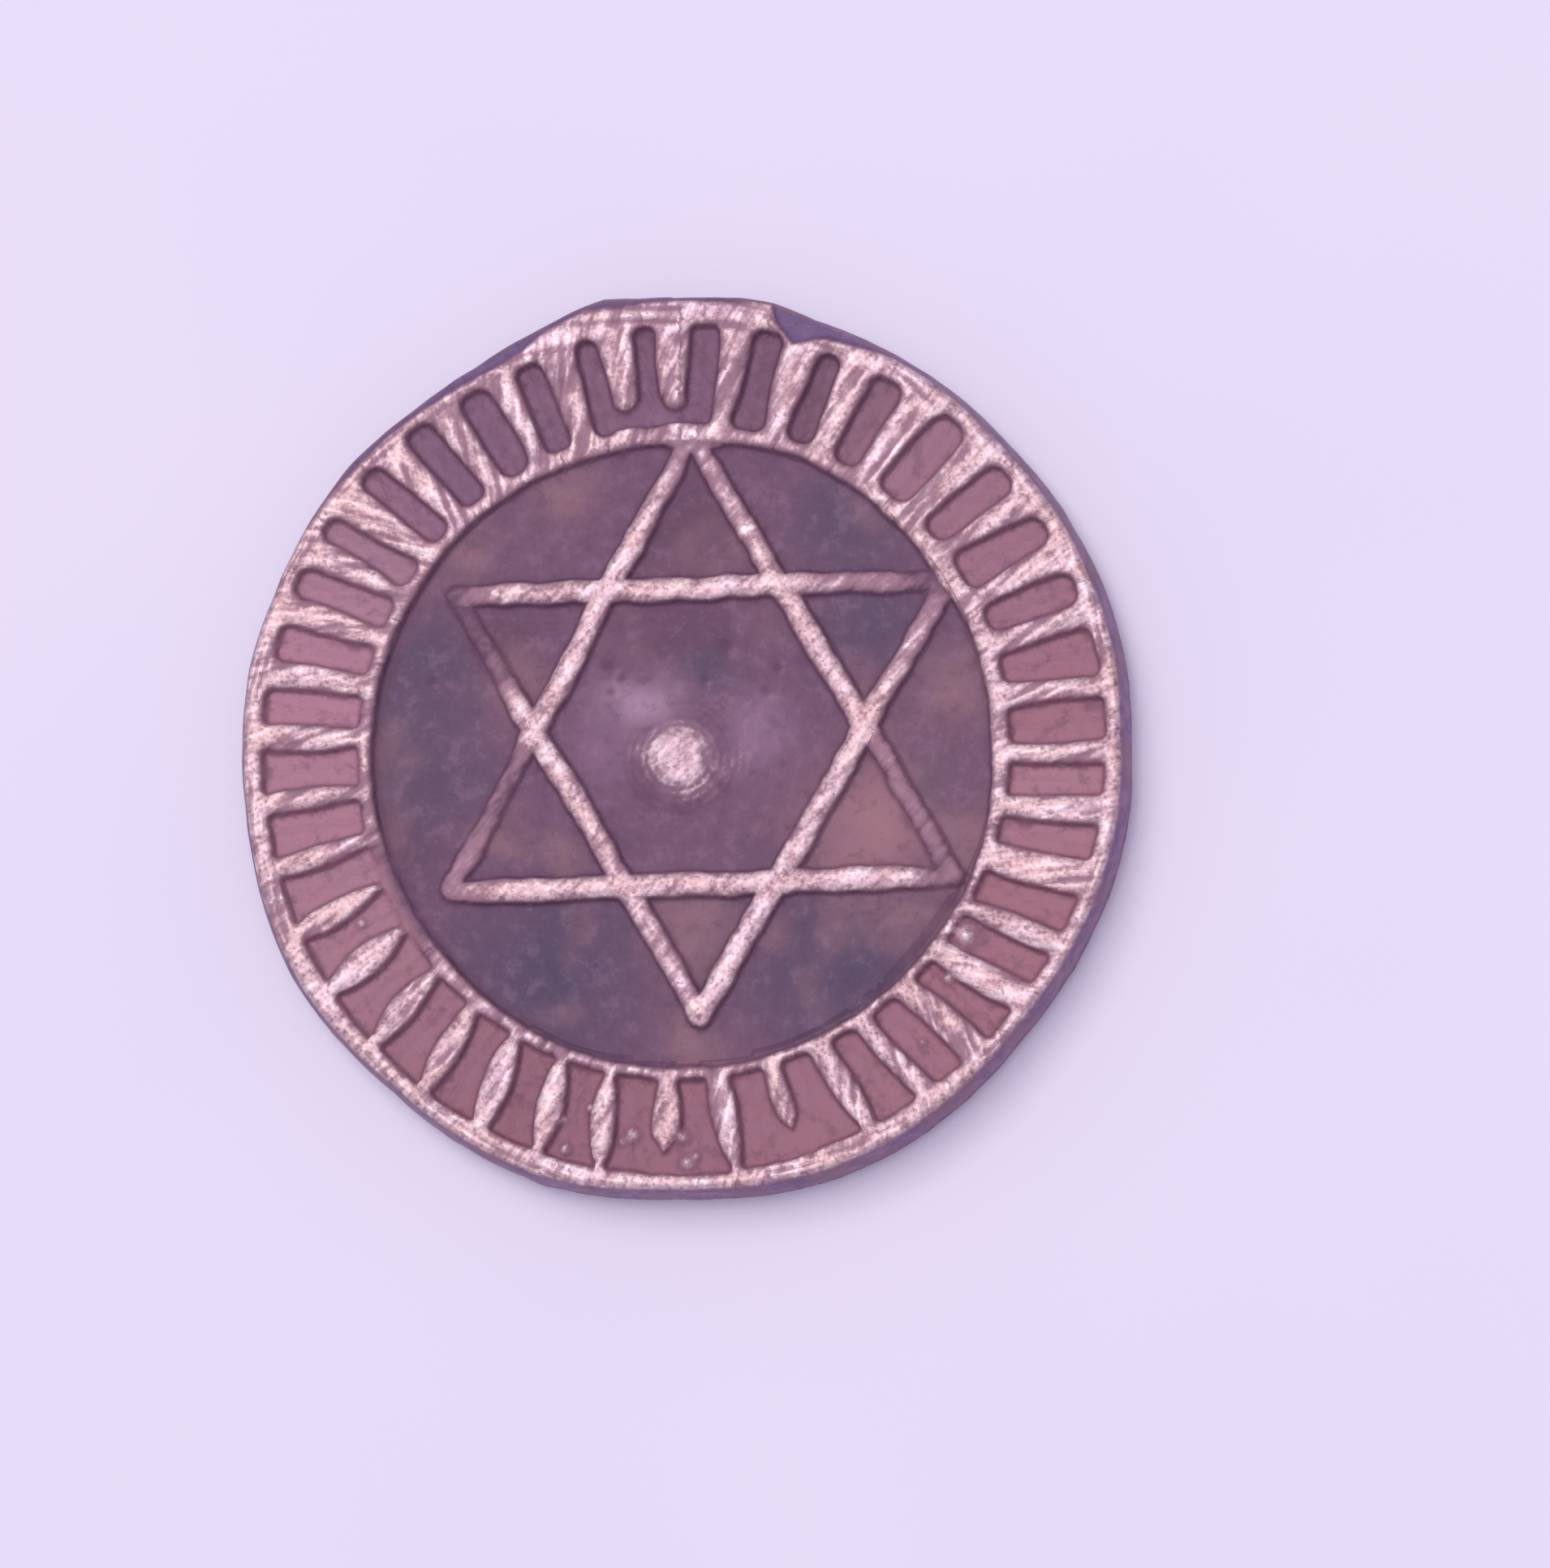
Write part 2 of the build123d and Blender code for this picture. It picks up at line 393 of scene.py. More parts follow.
def star_bars(x, y, noise):
    """Return the distance inside the star's sides, and how well the nearest side is struck."""
    depth = np.full(np.shape(x), -9.0)
    strike = np.zeros(np.shape(x))
    for number, (start, end, knots) in enumerate(STAR_SIDES):
        direction = np.array(end) - np.array(start)
        length = np.hypot(*direction)
        along = ((x - start[0]) * direction[0] + (y - start[1]) * direction[1]) / length
        across = ((y - start[1]) * direction[0] - (x - start[0]) * direction[1]) / length
        share = np.clip(along / length, 0, 1)
        past_end = along - share * length
        across = across + 0.04 * noise(along, np.full(np.shape(x), 7.0 * number), 1.3, 2)
        side_strike = np.interp(share, *zip(*knots))
        wander = 0.036 * noise(along, 7.0 * number + np.sign(across), 0.45, 2)
        side_depth = BAR_HALF_WIDTH * (0.72 + 0.28 * side_strike) + wander - np.hypot(across, past_end)
        better = (side_depth > 0) & (side_strike > strike) | (side_depth > depth) & (depth <= 0)
        strike = np.where(better, side_strike, strike)
        depth = np.maximum(depth, side_depth)
    return depth, strike


# Height of the deepest pit against the floor, the dark line of grime and painted shade at the foot of raised
# metal, and how much of a patch's colour covers the ground.
LOWEST = -0.1
FOOT_PLACE = -0.035
FOOT_WIDTH = 0.045
PATCH_STRENGTH = 0.88


class Face:
    """One face of the token. rise gives heights above the floor, and looks gives the surface's state."""

    def __init__(self, border, has_star, ring, rim, nodules, pits, seed):
        self.border = border
        self.has_star = has_star
        self.ring_shift, self.ring_standing, self.ring_polish = ring
        self.rim_reach, self.rim_polish = rim
        self.nodules = nodules
        self.pits = pits
        self.noise = Noise(seed)
        self.grain = Noise(seed + 1)

    def border_state(self, x, y):
        """Return the depth inside the border's metal, what stands there, its polish and its shoulder."""
        angle, radius = clock_and_radius(x, y, BORDER_CENTRE)
        ring_edge = radius - RING_INNER_RADIUS - round_the_clock(self.ring_shift, angle)
        ring_edge += 0.03 * self.noise(x, y, 0.7, 2)
        depth = np.minimum(-self.border.pocket_depth(x, y), ring_edge)
        on_ring = 1 - smooth(radius, POCKET_INNER_RADIUS - 0.02, POCKET_INNER_RADIUS + 0.25)
        standing = 1 - on_ring * (1 - round_the_clock(self.ring_standing, angle))
        reach = round_the_clock(self.rim_reach, angle) + 0.06 * self.noise(x, y, 1.1, 2)
        shoulder = smooth(radius, reach - 0.08, reach + 0.12)
        standing = standing * (1 - 0.6 * shoulder) * (1 - self.border.missing_rib(x, y))
        rim_polish = round_the_clock(self.rim_polish, angle)
        ring_polish = round_the_clock(self.ring_polish, angle)
        polish = (rim_polish + on_ring * (ring_polish - rim_polish)) * (1 - shoulder)
        return depth, standing, polish, shoulder

    def turned_wave(self, x, y, radius):
        """Return the wave of the rings turned round the boss, -1 to 1."""
        return np.sin(radius * 2 * np.pi / TURNED_PITCH + self.noise(x, y, 0.8))

    def boss(self, x, y):
        """Return the height of the boss: a low dome, worn flat on top, with faint turned rings."""
        if not self.has_star:
            return np.zeros(np.shape(x))
        _, radius = clock_and_radius(x, y, BOSS_CENTRE)
        dome = BOSS_HEIGHT * np.maximum(1 - (radius / BOSS_RADIUS) ** 2, 0) ** 1.2
        rings = 0.008 * self.turned_wave(x, y, radius) * smooth(radius, 0.4, 1.0)
        rings = rings * (1 - smooth(radius, 1.4, 2.0))
        worn = 0.84 * BOSS_HEIGHT + 0.03 * self.noise(x, y, 0.32, 2)
        return np.minimum(dome, worn) + rings + 0.05 * near(x, y, BOSS_CENTRE, TURNED_REACH)

    def rise(self, x, y):
        """Return the height above the floor level, from LOWEST to RELIEF."""
        depth, standing, _, _ = self.border_state(x, y)
        marks = self.border.streaks(x, y)
        rough = np.abs(self.grain(x, y, 0.22, 2))
        crown = 0.86 + 0.14 * smooth(depth, 0, 0.3)
        border = wall(depth) * standing * (crown - 0.16 * smooth(marks, 0, 0.9) - 0.07 * rough)
        relief = border
        if self.has_star:
            bar, strike = star_bars(x, y, self.noise)
            round_top = 0.8 + 0.2 * smooth(bar, 0, 0.26)
            bars = wall(bar) * (0.42 + 0.55 * smooth(strike, 0.1, 0.9)) * (round_top - 0.1 * rough)
            relief = np.maximum(border, bars)
        height = RELIEF * relief
        height += (1 - relief) * (self.boss(x, y) + 0.016 * self.noise(x, y, 2.4, 3))
        height += (1 - relief) * 0.007 * self.grain(x, y, 0.4, 3)
        for angle, radius, size, nodule_height in self.nodules:
            height = np.maximum(height, nodule_height * near(x, y, on_clock(angle, radius), size))
        for pit_x, pit_y, size in self.pits:
            height -= PIT_DEPTH * near(x, y, (pit_x, pit_y), size)
        angle, radius = clock_and_radius(x, y)
        rim = outline_radius(angle) - FACE_INSET
        height -= 0.05 * smooth(radius, rim - 0.16, rim)
        return np.clip(height, LOWEST, RELIEF)

    def looks(self, x, y):
        """Return how raised and how polished the metal is, grime and painted shade in its corners and at the
        feet of raised edges, and its low colour.
        """
        depth, standing, border_polish, shoulder = self.border_state(x, y)
        angle, radius = clock_and_radius(x, y, BORDER_CENTRE)
        marks = self.border.streaks(x, y)
        raised = smooth(depth, -0.02, 0.06) * smooth(standing, 0.25, 0.7) * (1 - shoulder)
        crown = 0.6 + 0.4 * smooth(depth, 0.02, 0.18)
        polish = raised * border_polish * crown * (1 - 0.5 * smooth(marks, -0.1, 0.8))
        # Dark line at the foot of raised edges: grime with painted shade.
        foot = line_at(depth, FOOT_PLACE, FOOT_WIDTH) * smooth(standing, 0.3, 0.8)
        # Painted shadow: the foot line is made stronger below and to the right of each raised edge, away from
        # the light.
        foot = foot * self.painted_shadow_side(x, y, self.edge_depth)
        if self.has_star:
            bar, strike = star_bars(x, y, self.noise)
            bar_raised = smooth(bar, -0.02, 0.06) * smooth(strike, 0.0, 0.4)
            raised = np.maximum(raised, bar_raised)
            polish = np.maximum(polish, bar_raised * strike * (0.58 + 0.42 * smooth(bar, 0.02, 0.2)))
            # Painted shade and grime at the foot of the star's sides, stronger on their lower right side as a
            # painted shadow.
            bar_foot = line_at(bar, FOOT_PLACE, FOOT_WIDTH) * (1 - raised) * self.painted_shadow_side(x, y, self.bar_depth)
            foot = np.maximum(foot * (1 - bar_raised), bar_foot)
            boss_wear = self.boss_wear(x, y)
            raised = np.maximum(raised, boss_wear)
            polish = np.maximum(polish, boss_wear)
            # Painted shade: a thick dark line along the foot of the ring's inner edge, on the field side, at
            # the lower left and left.
            side = smooth(angle, 190, 215) * (1 - smooth(angle, 280, 310))
            foot = np.maximum(foot, 1.3 * side * line_at(radius - RING_INNER_RADIUS, -0.09, 0.1))
            # Pits are darkened inside, and a painted highlight lies on the lower right lip of each pit, the
            # side the light falls on.
            for pit_x, pit_y, size in self.pits:
                foot = np.maximum(foot, near(x, y, (pit_x, pit_y), 0.9 * size))
                painted_pit_highlight = 0.4 * near(x, y, (pit_x + 1.7 * size, pit_y - 1.5 * size), 1.4 * size)
                raised = np.maximum(raised, painted_pit_highlight)
                polish = np.maximum(polish, painted_pit_highlight)
        for nodule_angle, nodule_radius, size, _ in self.nodules:
            spot = near(x, y, on_clock(nodule_angle, nodule_radius), size * 1.1)
            raised = np.maximum(raised, spot)
            polish = np.maximum(polish, spot)
        return raised, polish, np.clip(foot, 0, 1), self.tint(x, y, angle, radius, shoulder)

    def boss_wear(self, x, y):
        """Return how worn and bright the boss and the turned rings beside it are."""
        _, radius = clock_and_radius(x, y, BOSS_CENTRE)
        core = 0.84 - 0.84 * smooth(radius + 0.34 * self.noise(x, y, 0.45, 3), 0.5, 1.45)
        ripple = 0.5 + 0.5 * self.turned_wave(x, y, radius)
        core = core * (1 - 0.55 * ripple * smooth(radius, 0.4, 0.9))
        reach = 0.75 * near(x, y, TURNED_SIDE, 1.5) + 0.25 * near(x, y, BOSS_CENTRE, TURNED_REACH)
        return np.maximum(core, 0.62 * ripple * smooth(self.noise(x, y, 0.7, 2), -0.3, 0.6) * reach)

    def edge_depth(self, x, y):
        """Return how far inside the raised border a point is."""
        return self.border_state(x, y)[0]

    def bar_depth(self, x, y):
        """Return how far inside the star's sides a point is."""
        return star_bars(x, y, self.noise)[0]

    def painted_shadow_side(self, x, y, depth_at):
        """Return 0.35 to 1: painted shadow, stronger below and to the right of a raised edge, on the side away
        from the light.
        """
        step = 0.08
        facing = depth_at(x - step, y + step) - depth_at(x + step, y - step)
        return 0.35 + 0.65 * smooth(facing, -0.12, 0.12)

    def tint(self, x, y, angle, radius, shoulder):
        """Return the colour of patina and bare low metal at each point."""
        ground = np.broadcast_to(FIELD_GROUND, (*np.shape(x), 3))
        shift_x = x + 0.4 * self.noise(x, y, 1.3, 3)
        shift_y = y + 0.4 * self.noise(y, x, 1.1, 3)
        if self.has_star:
            for patch_x, patch_y, size, colour in PATCHES:
                share = near(shift_x, shift_y, (patch_x, patch_y), size)
                ground = blend(ground, colour, PATCH_STRENGTH * share)
        by_ring = 0.35 * smooth(radius, 6.6, 7.8)
        mottle = smooth(self.noise(y, x, 1.5, 2) + by_ring, 0.35, 1.2)
        ground = blend(ground, BROWN, 0.45 * mottle)
        in_border = smooth(radius, RING_INNER_RADIUS, POCKET_INNER_RADIUS)
        ground = blend(ground, round_the_clock(POCKET_TINTS, angle), in_border)
        return blend(ground, SHOULDER, shoulder)


def regular_border(count=40, first=4.2, outer=1.05, waist=0.95, inner=0.86):
    """Return nearly even pockets, for the reverse."""
    rng = np.random.default_rng(71)
    pockets = []
    for index in range(count):
        turn, *widths = rng.normal(0, 1, 4) * (0.35, 0.07, 0.06, 0.06)
        middle = first + 360 / count * index + turn
        pockets.append((middle, outer + widths[0], waist + widths[1], inner + widths[2]))
    return pockets


OBVERSE = Face(
    Border(POCKETS, POCKET_LEAN, POCKET_CORNER, POCKET_REACH, SHORT_RIBS, seed=5),
    has_star=True,
    ring=(RING_SHIFT, RING_STANDING, RING_POLISH),
    rim=(RIM_REACH, RIM_POLISH),
    nodules=NODULES,
    pits=PITS,
    seed=11,
)
REVERSE = Face(
    Border(regular_border(), [(0, 0)], [(0, 0.24), (180, 0.2)], [(0, POCKET_OUTER_RADIUS)], [], seed=6),
    has_star=False,
    ring=([(0, 0)], [(0, 0.95), (180, 0.9)], [(0, 0.9), (180, 0.8)]),
    rim=([(0, 12)], [(0, 0.9)]),
    nodules=[],
    pits=[(2.1, -3.0, 0.16), (-3.4, 1.2, 0.12)],
    seed=23,
)


# ---------------------------------------------------------------------------------------------------
# Mesh: rings of points on each face, joined by the edge wall into one closed surface
# ---------------------------------------------------------------------------------------------------
def outline_radius(angle):
    """Return the flan's radius at the parting line."""
    return round_the_clock(OUTLINE, angle)


PARTING_SHARE = 0.58
SEAM_HEIGHT = 0.025
SEAM_WIDTH = 0.05
RIM_BLEND = 14
BOX_MARGIN = 0.005
SIDE_REACH = FLAN_RADIUS - BOX_MARGIN
TOP_REACH = STUB_REACH - BOX_MARGIN
OBVERSE_ZONE, WALL_ZONE, REVERSE_ZONE = 0, 1, 2
ROUNDING = 1e-6
GOLDEN_TURN = 0.618
edge_noise = Noise(31)


def wall_places(angle, share):
    """Return places on the edge wall, share 0 at the obverse's rim and 1 at the reverse's."""
    reach = np.where(share < PARTING_SHARE, PARTING_SHARE, 1 - PARTING_SHARE)
    inset = FACE_INSET * ((share - PARTING_SHARE) / reach) ** 2
    seam = SEAM_HEIGHT * (1 - line_at(share, PARTING_SHARE, SEAM_WIDTH))
    bearing = np.radians(angle)
    level = THICKNESS * (1 - share)
    uneven = 0.12 * share * (1 - share) * np.abs(edge_noise(bearing * FLAN_RADIUS, level, 1.4, 3))
    radius = outline_radius(angle) - inset - seam - uneven
    x = np.clip(radius * np.sin(bearing), -SIDE_REACH, SIDE_REACH)
    y = np.clip(radius * np.cos(bearing), -SIDE_REACH, TOP_REACH)
    level -= (RELIEF - OBVERSE.rise(x, y)) * np.exp(-RIM_BLEND * share)
    level += (RELIEF - REVERSE.rise(x, y)) * np.exp(-RIM_BLEND * (1 - share))
    return np.column_stack([x, y, level])


def face_places(x, y, zone):
    """Return places on the obverse or the reverse."""
    if zone == OBVERSE_ZONE:
        return np.column_stack([x, y, THICKNESS - RELIEF + OBVERSE.rise(x, y)])
    return np.column_stack([x, y, RELIEF - REVERSE.rise(x, y)])


def ring_zip(first, count_a, turn_a, second, count_b, turn_b):
    """Return triangles between two rings of points, each evenly spaced clockwise from its own turn."""
    edge_a, edge_b = np.arange(count_a), np.arange(count_b)
    place_in_b = (edge_a + 0.5 + turn_a) / count_a * count_b - turn_b
    place_in_a = (edge_b + 0.5 + turn_b) / count_b * count_a - turn_a
    nearest_b = np.ceil(place_in_b - 0.5 - ROUNDING).astype(int) % count_b
    nearest_a = np.floor(place_in_a + 0.5 + ROUNDING).astype(int) % count_a
    from_a = np.column_stack([first + edge_a, first + (edge_a + 1) % count_a, second + nearest_b])
    from_b = np.column_stack([second + (edge_b + 1) % count_b, second + edge_b, first + nearest_a])
    triangles = np.concatenate([from_a, from_b])
    return triangles[triangles[:, 0] != triangles[:, 1]]


class TokenMesh:
    """Closed triangle mesh of the token, in millimetres.

    Each vertex has a zone and two coordinates in it: x and y on a face, angle and share on the edge wall.
    """

    def __init__(self, spacing, wall_rows):
        """Make a coarse mesh of rings, out over the obverse, down the wall and in over the reverse."""
        self.rim_count = round(2 * math.pi * FLAN_RADIUS / spacing)
        self.steps = round(FLAN_RADIUS / spacing)
        rings = [self.face_ring(OBVERSE_ZONE, step) for step in range(self.steps)]
        rim_angle = np.arange(self.rim_count) * 360 / self.rim_count
        for row in range(wall_rows + 1):
            share = np.full(self.rim_count, row / wall_rows)
            rings.append((WALL_ZONE, 0.0, np.column_stack([rim_angle, share])))
        rings += [self.face_ring(REVERSE_ZONE, step) for step in reversed(range(self.steps))]
        self.zone = np.concatenate([np.full(len(where), zone) for zone, _, where in rings])
        self.where = np.concatenate([where for _, _, where in rings])
        self.places = self.place(self.zone, self.where)
        triangles, start = [], 0
        for (_, turn, where), (_, next_turn, next_where) in zip(rings, rings[1:]):
            count, next_count = len(where), len(next_where)
            triangles.append(ring_zip(start, count, turn, start + count, next_count, next_turn))
            start += count
        self.triangles = np.concatenate(triangles)

    def face_ring(self, zone, step):
        """Return one ring of a face: its zone, its turn and its points. Step 0 is the middle point."""
        count = max(6, round(self.rim_count * step / self.steps)) if step else 1
        turn = step * GOLDEN_TURN % 1
        angle = (np.arange(count) + turn) * 360 / count
        rim = wall_places(angle, np.full(count, 0.0 if zone == OBVERSE_ZONE else 1.0))
        return zone, turn, rim[:, :2] * step / self.steps

    def place(self, zone, where):
        """Return the places of points given by zone and coordinates."""
        places = np.empty((len(zone), 3))
        for each in (OBVERSE_ZONE, WALL_ZONE, REVERSE_ZONE):
            here = zone == each
            if each == WALL_ZONE:
                places[here] = wall_places(*where[here].T)
            else:
                places[here] = face_places(*where[here].T, each)
        return places

    def between(self, ends, share):
        """Return zone and coordinates of points at a share of the way along edges."""
        zones = self.zone[ends]
        on_wall = (zones == WALL_ZONE).all(axis=1)
        zone = np.where(on_wall, WALL_ZONE, np.where(zones[:, 0] == WALL_ZONE, zones[:, 1], zones[:, 0]))
        angle, next_angle = self.where[ends, 0].T
        angle = angle + share * ((next_angle - angle + 180) % 360 - 180)
        wall_share = self.where[ends, 1] @ (1 - share, share)
        flat = self.places[ends[:, 0], :2] * (1 - share) + self.places[ends[:, 1], :2] * share
        return zone, np.where(on_wall[:, None], np.column_stack([angle, wall_share]), flat)

    def stray(self, ends):
        """Return how far the surface leaves each edge's straight line."""
        stray = np.zeros(len(ends))
        for share in (0.25, 0.5, 0.75):
            chord = self.places[ends[:, 0]] * (1 - share) + self.places[ends[:, 1]] * share
            surface = self.place(*self.between(ends, share))
            stray = np.maximum(stray, np.linalg.norm(surface - chord, axis=1))
        return stray

    def refine(self, tolerance, finest, budget):
        """Split the edges that stray, down to the finest length, while the triangle budget lasts."""
        pairs = np.sort(np.stack([self.triangles, np.roll(self.triangles, -1, axis=1)], axis=2), axis=2)
        keys, sides = np.unique(pairs.reshape(-1, 2) @ (len(self.zone), 1), return_inverse=True)
        sides = sides.reshape(-1, 3)
        ends = np.column_stack(np.divmod(keys, len(self.zone)))
        length = np.linalg.norm(self.places[ends[:, 0]] - self.places[ends[:, 1]], axis=1)
        longest = length[sides].argmax(axis=1)
        longest_side = np.take_along_axis(sides, longest[:, None], 1)[:, 0]
        stray = np.zeros(len(ends))
        stray[length > finest] = self.stray(ends[length > finest])
        while True:
            split = stray > tolerance
            wave = -1
            while wave != split.sum():
                wave = split.sum()
                split[longest_side[split[sides].any(axis=1)]] = True
            if len(self.triangles) + split[sides].sum() <= budget:
                break
            tolerance *= 1.1
        middle = np.where(split, len(self.zone) + np.cumsum(split) - 1, -1)
        order = (longest[:, None] + np.arange(3)) % 3
        corners = np.take_along_axis(self.triangles, order, 1)
        self.triangles = split_triangles(corners, middle[np.take_along_axis(sides, order, 1)])
        zone, where = self.between(ends[split], 0.5)
        self.zone = np.concatenate([self.zone, zone])
        self.where = np.concatenate([self.where, where])
        self.places = np.concatenate([self.places, self.place(zone, where)])


def split_triangles(corners, middles):
    """Return the parts of triangles whose sides are halved at the given vertices, or whole at -1.

    The first side runs from the first corner to the second, and it is halved wherever another one is.
    """
    a, b, c = corners.T
    ab, bc, ca = middles.T
    halved, halved_bc, halved_ca = ab >= 0, bc >= 0, ca >= 0
    cases = [
        (~halved, (a, b, c)),
        (halved & ~halved_ca, (a, ab, c)),
        (halved & halved_ca, (a, ab, ca)),
        (halved & halved_ca, (ca, ab, c)),
        (halved & ~halved_bc, (ab, b, c)),
        (halved & halved_bc, (ab, b, bc)),
        (halved & halved_bc, (ab, bc, c)),
    ]
    return np.concatenate([np.column_stack(parts)[chosen] for chosen, parts in cases])


def mesh_from(name, vertices, triangles):
    """Return a Blender mesh in metres."""
    mesh = bpy.data.meshes.new(name)
    mesh.vertices.add(len(vertices))
    mesh.vertices.foreach_set("co", (vertices * MM).astype(np.float32).ravel())
    mesh.loops.add(len(triangles) * 3)
    mesh.loops.foreach_set("vertex_index", triangles.astype(np.int32).ravel())
    mesh.polygons.add(len(triangles))
    mesh.polygons.foreach_set("loop_start", np.arange(0, len(triangles) * 3, 3, dtype=np.int32))
    mesh.update(calc_edges=True)
    mesh.validate()
    return mesh


def store(mesh, name, kind, field, values):
    """Store a number, vector or colour for each vertex."""
    layer = mesh.attributes.new(name, kind, "POINT")
    layer.data.foreach_set(field, values.astype(np.float32).ravel())


def paint(mesh):
    """Store how raised and polished each vertex is, its grime and painted shade, its low colour, strokes and
    the edge wall.
    """
    places = np.empty(len(mesh.vertices) * 3, np.float32)
    mesh.vertices.foreach_get("co", places)
    x, y, z = places.reshape(-1, 3).astype(float).T / MM
    angle, radius = clock_and_radius(x, y)
    on_edge = 1 - smooth(outline_radius(angle) - FACE_INSET - radius, -0.05, 0.03)
    top = OBVERSE.looks(x, y)
    low = REVERSE.looks(x, y)
    is_top = z > THICKNESS / 2
    raised, polish, grime_and_shade = (np.where(is_top, of_top, of_low) for of_top, of_low in zip(top[:3], low[:3]))
    tint = np.where(is_top[:, None], top[3], low[3])
    # Darker lines along the parting seam and just under the rim edge of the wall.
    seam = line_at(z / THICKNESS - 1, -PARTING_SHARE, SEAM_WIDTH)
    under_rim = line_at(z / THICKNESS, 0.93, SEAM_WIDTH)
    grime_and_shade = np.maximum(grime_and_shade, on_edge * np.maximum(0.7 * seam, 0.5 * under_rim))
    for name, values in (("raised", raised), ("polish", polish), ("grime_and_shade", grime_and_shade), ("edge", on_edge)):
        store(mesh, name, "FLOAT", "value", values)
    top_strokes, low_strokes = OBVERSE.border.strokes(x, y), REVERSE.border.strokes(x, y)
    across, along = (np.where(is_top, of_top, of_low) for of_top, of_low in zip(top_strokes, low_strokes))
    store(mesh, "strokes", "FLOAT_VECTOR", "vector", np.column_stack([across, along / 6, z / 3]))
    store(mesh, "tint", "FLOAT_COLOR", "color", np.column_stack([tint, np.ones(len(tint))]))


# ---------------------------------------------------------------------------------------------------
# Material
# ---------------------------------------------------------------------------------------------------
class Nodes:
    """Short way to add shader nodes and link them."""

    def __init__(self, material):
        self.tree = material.node_tree

    def add(self, kind, inputs=None, **settings):
        """Return a new node with its settings made and its inputs linked or set."""
        node = self.tree.nodes.new(kind)
        for name, value in settings.items():
            setattr(node, name, value)
        for name, value in (inputs or {}).items():
            self.put(node.inputs[name], value)
        return node

    def put(self, socket, value):
        """Link an output to the socket, or set its value."""
        if isinstance(value, bpy.types.NodeSocket):
            self.tree.links.new(value, socket)
        else:
            socket.default_value = value

    def maths(self, operation, first, second=0.0, third=0.0):
        """Return the result of one operation on up to three values."""
        return self.add("ShaderNodeMath", {0: first, 1: second, 2: third}, operation=operation).outputs[0]

    def step(self, value, start, end):
        """Return a smooth step of the value from start to end."""
        node = self.add("ShaderNodeMapRange", {"Value": value, "From Min": start, "From Max": end},
                        interpolation_type="SMOOTHSTEP")
        return node.outputs["Result"]

    def mix(self, share, first, second, kind="MIX"):
        """Return the first colour where the share is 0 and the second where it is 1."""
        node = self.add("ShaderNodeMix", data_type="RGBA", blend_type=kind)
        for socket, value in zip((node.inputs[0], node.inputs[6], node.inputs[7]), (share, first, second)):
            self.put(socket, value)
        return node.outputs[2]

    def stain(self, share, strength, base, colour):
        """Return the base with a colour laid over it by the share times the strength."""
        return self.mix(self.maths("MULTIPLY", share, strength), base, colour)

    def noise(self, where, scale, detail, roughness):
        """Return cloudy noise of 0 to 1."""
        inputs = {"Vector": where, "Scale": scale, "Detail": detail, "Roughness": roughness}
        return self.add("ShaderNodeTexNoise", inputs).outputs[0]

    def attribute(self, name, output="Fac"):
        """Return what paint stored for each vertex."""
        return self.add("ShaderNodeAttribute", attribute_name=name).outputs[output]

    def ramp(self, value, stops):
        """Return the colour that the stops give for a value."""
        node = self.add("ShaderNodeValToRGB", {"Fac": value})
        ramp = node.color_ramp
        while len(ramp.elements) < len(stops):
            ramp.elements.new(0.5)
        for element, (place, colour) in zip(ramp.elements, stops):
            element.position = place
            element.color = (*colour, 1)
        return node.outputs["Color"]


def rgba(red, green, blue):
    """Return a shader colour from display values of 0 to 255."""
    return (*srgb(red, green, blue), 1)


def new_material(name):
    """Return a material, its nodes, its shader and the places on the object."""
    material = bpy.data.materials.new(name)
    material.use_nodes = True
    nodes = Nodes(material)
    where = nodes.add("ShaderNodeTexCoord").outputs["Object"]
    return material, nodes, material.node_tree.nodes["Principled BSDF"], where


CREST_COLOURS = [
    (0.39, srgb(156, 120, 134)), (0.46, srgb(196, 163, 174)), (0.53, srgb(220, 190, 200)),
    (0.61, srgb(240, 219, 228)),
]  # fmt: skip


